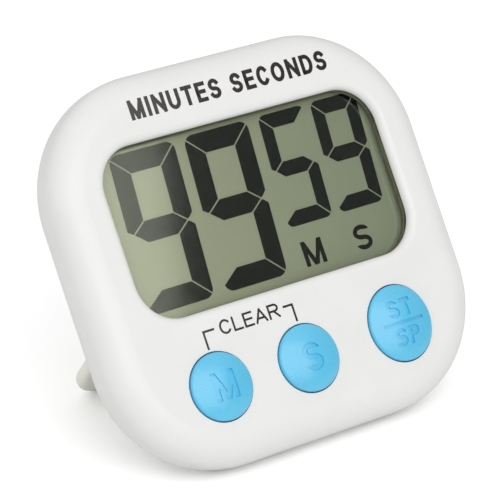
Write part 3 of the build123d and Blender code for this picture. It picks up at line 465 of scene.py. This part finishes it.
def joined(meshes, operation="UNION"):
    """Closed meshes combined into one."""
    objects = []
    for mesh in meshes:
        piece = bpy.data.objects.new("joining", mesh)
        bpy.context.scene.collection.objects.link(piece)
        objects.append(piece)
    for other in objects[1:]:
        modifier = objects[0].modifiers.new("join", "BOOLEAN")
        modifier.operation = operation
        modifier.solver = "EXACT"
        modifier.object = other
    graph = bpy.context.evaluated_depsgraph_get()
    result = bpy.data.meshes.new_from_object(objects[0].evaluated_get(graph))
    for piece in objects:
        bpy.data.objects.remove(piece)
    return result


def letter_mesh(name, height, stroke, squeeze):
    """One printed capital: its strokes joined and trimmed to its cell."""
    share, strokes = LETTERS[name]
    width = max(share * height * squeeze, stroke)
    inner = Vector((width - stroke, height - stroke))
    forms = []
    for path in strokes:
        points = [(stroke / 2 + x * inner.x, stroke / 2 + y * inner.y) for x, y in path]
        forms.append(prism(pen_stroke(points, stroke), 0, INK_THICKNESS_MM))
    whole = joined(forms) if len(forms) > 1 else forms[0]
    cell = prism([(0, 0), (width, 0), (width, height), (0, height)], -1, 1)
    return joined([whole, cell], "INTERSECT"), width


def printed_word(legend):
    """A line of printed capitals, spread to a given width about its middle, as one mesh."""
    letters = []
    for name in legend["text"]:
        if name == " ":
            letters.append((None, legend["space"]))
        else:
            letters.append(letter_mesh(name, legend["height"], legend["stroke"], legend["squeeze"]))
    inked = sum(width for mesh, width in letters)
    gap = (legend["width"] - inked) / (len(letters) - 1)
    word = bmesh.new()
    x = legend["x"] - legend["width"] / 2
    for mesh, width in letters:
        if mesh is not None:
            mesh.transform(Matrix.Translation((x, legend["y"] - legend["height"] / 2, 0)))
            word.from_mesh(mesh)
        x += width + gap
    result = bpy.data.meshes.new("word")
    word.to_mesh(result)
    word.free()
    return result


def bracket(corner_x, arm_x, low_y):
    """A corner line that ties the word to a key."""
    path = [(arm_x, BRACKET_TOP_Y_MM), (corner_x, BRACKET_TOP_Y_MM), (corner_x, low_y)]
    return prism(pen_stroke(path, BRACKET_STROKE_MM), 0, INK_THICKNESS_MM)


def legends(ink):
    """The printed title, the word between the two left keys and its brackets."""
    prints = {
        "title_print": printed_word(TITLE),
        "clear_print": printed_word(CLEAR),
        "left_bracket_print": bracket(**LEFT_BRACKET),
        "right_bracket_print": bracket(**RIGHT_BRACKET),
    }
    for name, mesh in prints.items():
        add_object(name, mesh, ink, "case")


# ---------------------------------------------------------------- display

def clear_stack(material):
    """The polariser and the front glass as one clear plate over the segments."""
    half_width = WINDOW_WIDTH_MM / 2 + STACK_MARGIN_MM
    half_height = WINDOW_HEIGHT_MM / 2 + STACK_MARGIN_MM
    left = WINDOW_X_MM - half_width
    right = WINDOW_X_MM + half_width
    low = WINDOW_Y_MM - half_height
    high = WINDOW_Y_MM + half_height
    outline = [(left, low), (right, low), (right, high), (left, high)]
    mesh = prism(outline, SEGMENT_FRONT_Z_MM + STACK_GAP_MM, POLARISER_FRONT_Z_MM)
    stack = add_object("display_clear_stack", mesh, material, "case")
    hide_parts("display_polariser", "display_front_glass")


# ---------------------------------------------------------------- floor, lights and camera

def floor():
    """A plain white floor, which the camera sees brighter than it lights the timer.

    Only a contact shadow shows on it.
    """
    half = FLOOR_HALF
    corners = [(-half, -half, 0), (half, -half, 0), (half, half, 0), (-half, half, 0)]
    mesh = bpy.data.meshes.new("floor")
    mesh.from_pydata(corners, [], [(0, 1, 2, 3)])
    material, tree, surface, place = empty_material("floor_white")
    matt = tree.nodes.new("ShaderNodeBsdfDiffuse")
    mottled = mixed(tree, noise(tree, place, 3.0), FLOOR_WHITE, shaded(FLOOR_WHITE, FLOOR_MOTTLE))
    feed(tree, mixed(tree, seen_by_camera(tree), mottled, FLOOR_SEEN), matt.inputs["Color"])
    feed(tree, matt.outputs["BSDF"], surface)
    mesh.materials.append(material)
    plane = bpy.data.objects.new("floor", mesh)
    bpy.context.scene.collection.objects.link(plane)


def surround():
    """A pale surround, brighter above and to the left, with a dark gap beside the key light.

    The camera itself sees plain white behind the timer.
    """
    world = bpy.data.worlds.new("surround")
    world.use_nodes = True
    tree = world.node_tree
    direction = tree.nodes.new("ShaderNodeTexCoord").outputs["Generated"]
    parts = tree.nodes.new("ShaderNodeSeparateXYZ")
    feed(tree, direction, parts.inputs["Vector"])
    rise = spread(tree, parts.outputs["Z"], HORIZON_LEVEL, ZENITH_LEVEL, 0.0, 1.0)
    side = spread(tree, parts.outputs["X"], LEFT_SHARE, RIGHT_SHARE, -1.0, 1.0)
    open_level = worked_out(tree, "MULTIPLY", rise, side)
    near = tree.nodes.new("ShaderNodeVectorMath")
    near.operation = "DOT_PRODUCT"
    near.inputs[1].default_value = (FACE.to_3x3() @ Vector(DARK_GAP_DIRECTION)).normalized()
    feed(tree, direction, near.inputs[0])
    gap_end = math.cos(math.radians(DARK_GAP_DEGREES + DARK_GAP_EDGE_DEGREES))
    gap_start = math.cos(math.radians(DARK_GAP_DEGREES))
    in_gap = spread(tree, near.outputs["Value"], 0.0, 1.0, gap_end, gap_start)
    level = mixed(tree, in_gap, open_level, DARK_GAP_LEVEL, "FLOAT")
    backdrop = tree.nodes["Background"]
    feed(tree, mixed(tree, seen_by_camera(tree), level, 1.0, "FLOAT"), backdrop.inputs["Strength"])
    backdrop.inputs["Color"].default_value = (1.0, 1.0, 1.0, 1)
    bpy.context.scene.world = world


def key_light():
    """A broad soft light that faces the timer, whose right edge shows in the display."""
    light = bpy.data.lights.new("key_light", "AREA")
    light.shape = "RECTANGLE"
    light.size = KEY_LIGHT["width"]
    light.size_y = KEY_LIGHT["height"]
    light.energy = KEY_LIGHT["radiance"] * math.pi * light.size * light.size_y
    lamp = bpy.data.objects.new("key_light", light)
    lean = FACE.to_3x3().to_4x4() @ Matrix.Rotation(math.radians(KEY_LIGHT["tilt"]), 4, "Z")
    lamp.matrix_world = Matrix.Translation(FACE @ Vector(KEY_LIGHT["middle"])) @ lean
    bpy.context.scene.collection.objects.link(lamp)


def camera():
    """The camera, at a long lens's distance, to the left of the face and above it."""
    lens = bpy.data.cameras.new("camera")
    lens.lens = CAMERA_LENS_MM
    lens.sensor_width = CAMERA_SENSOR_MM
    lens.clip_start = 0.01
    lens.clip_end = 50.0
    viewer = bpy.data.objects.new("camera", lens)
    turn = math.radians(CAMERA_AZIMUTH)
    rise = math.radians(CAMERA_ELEVATION)
    back = Vector((math.sin(turn) * math.cos(rise), -math.cos(turn) * math.cos(rise), math.sin(rise)))
    viewer.location = CAMERA_TARGET + back * CAMERA_DISTANCE
    viewer.rotation_mode = "QUATERNION"
    level = (-back).to_track_quat("-Z", "Y")
    viewer.rotation_quaternion = level @ Matrix.Rotation(math.radians(CAMERA_ROLL), 3, "Z").to_quaternion()
    bpy.context.scene.collection.objects.link(viewer)
    bpy.context.scene.camera = viewer
    bpy.context.scene.view_settings.view_transform = "Standard"


# ---------------------------------------------------------------- build

materials = dress_parts()
clear_stack(materials["polariser_film"])
legends(ink_material())
floor()
surround()
key_light()
camera()
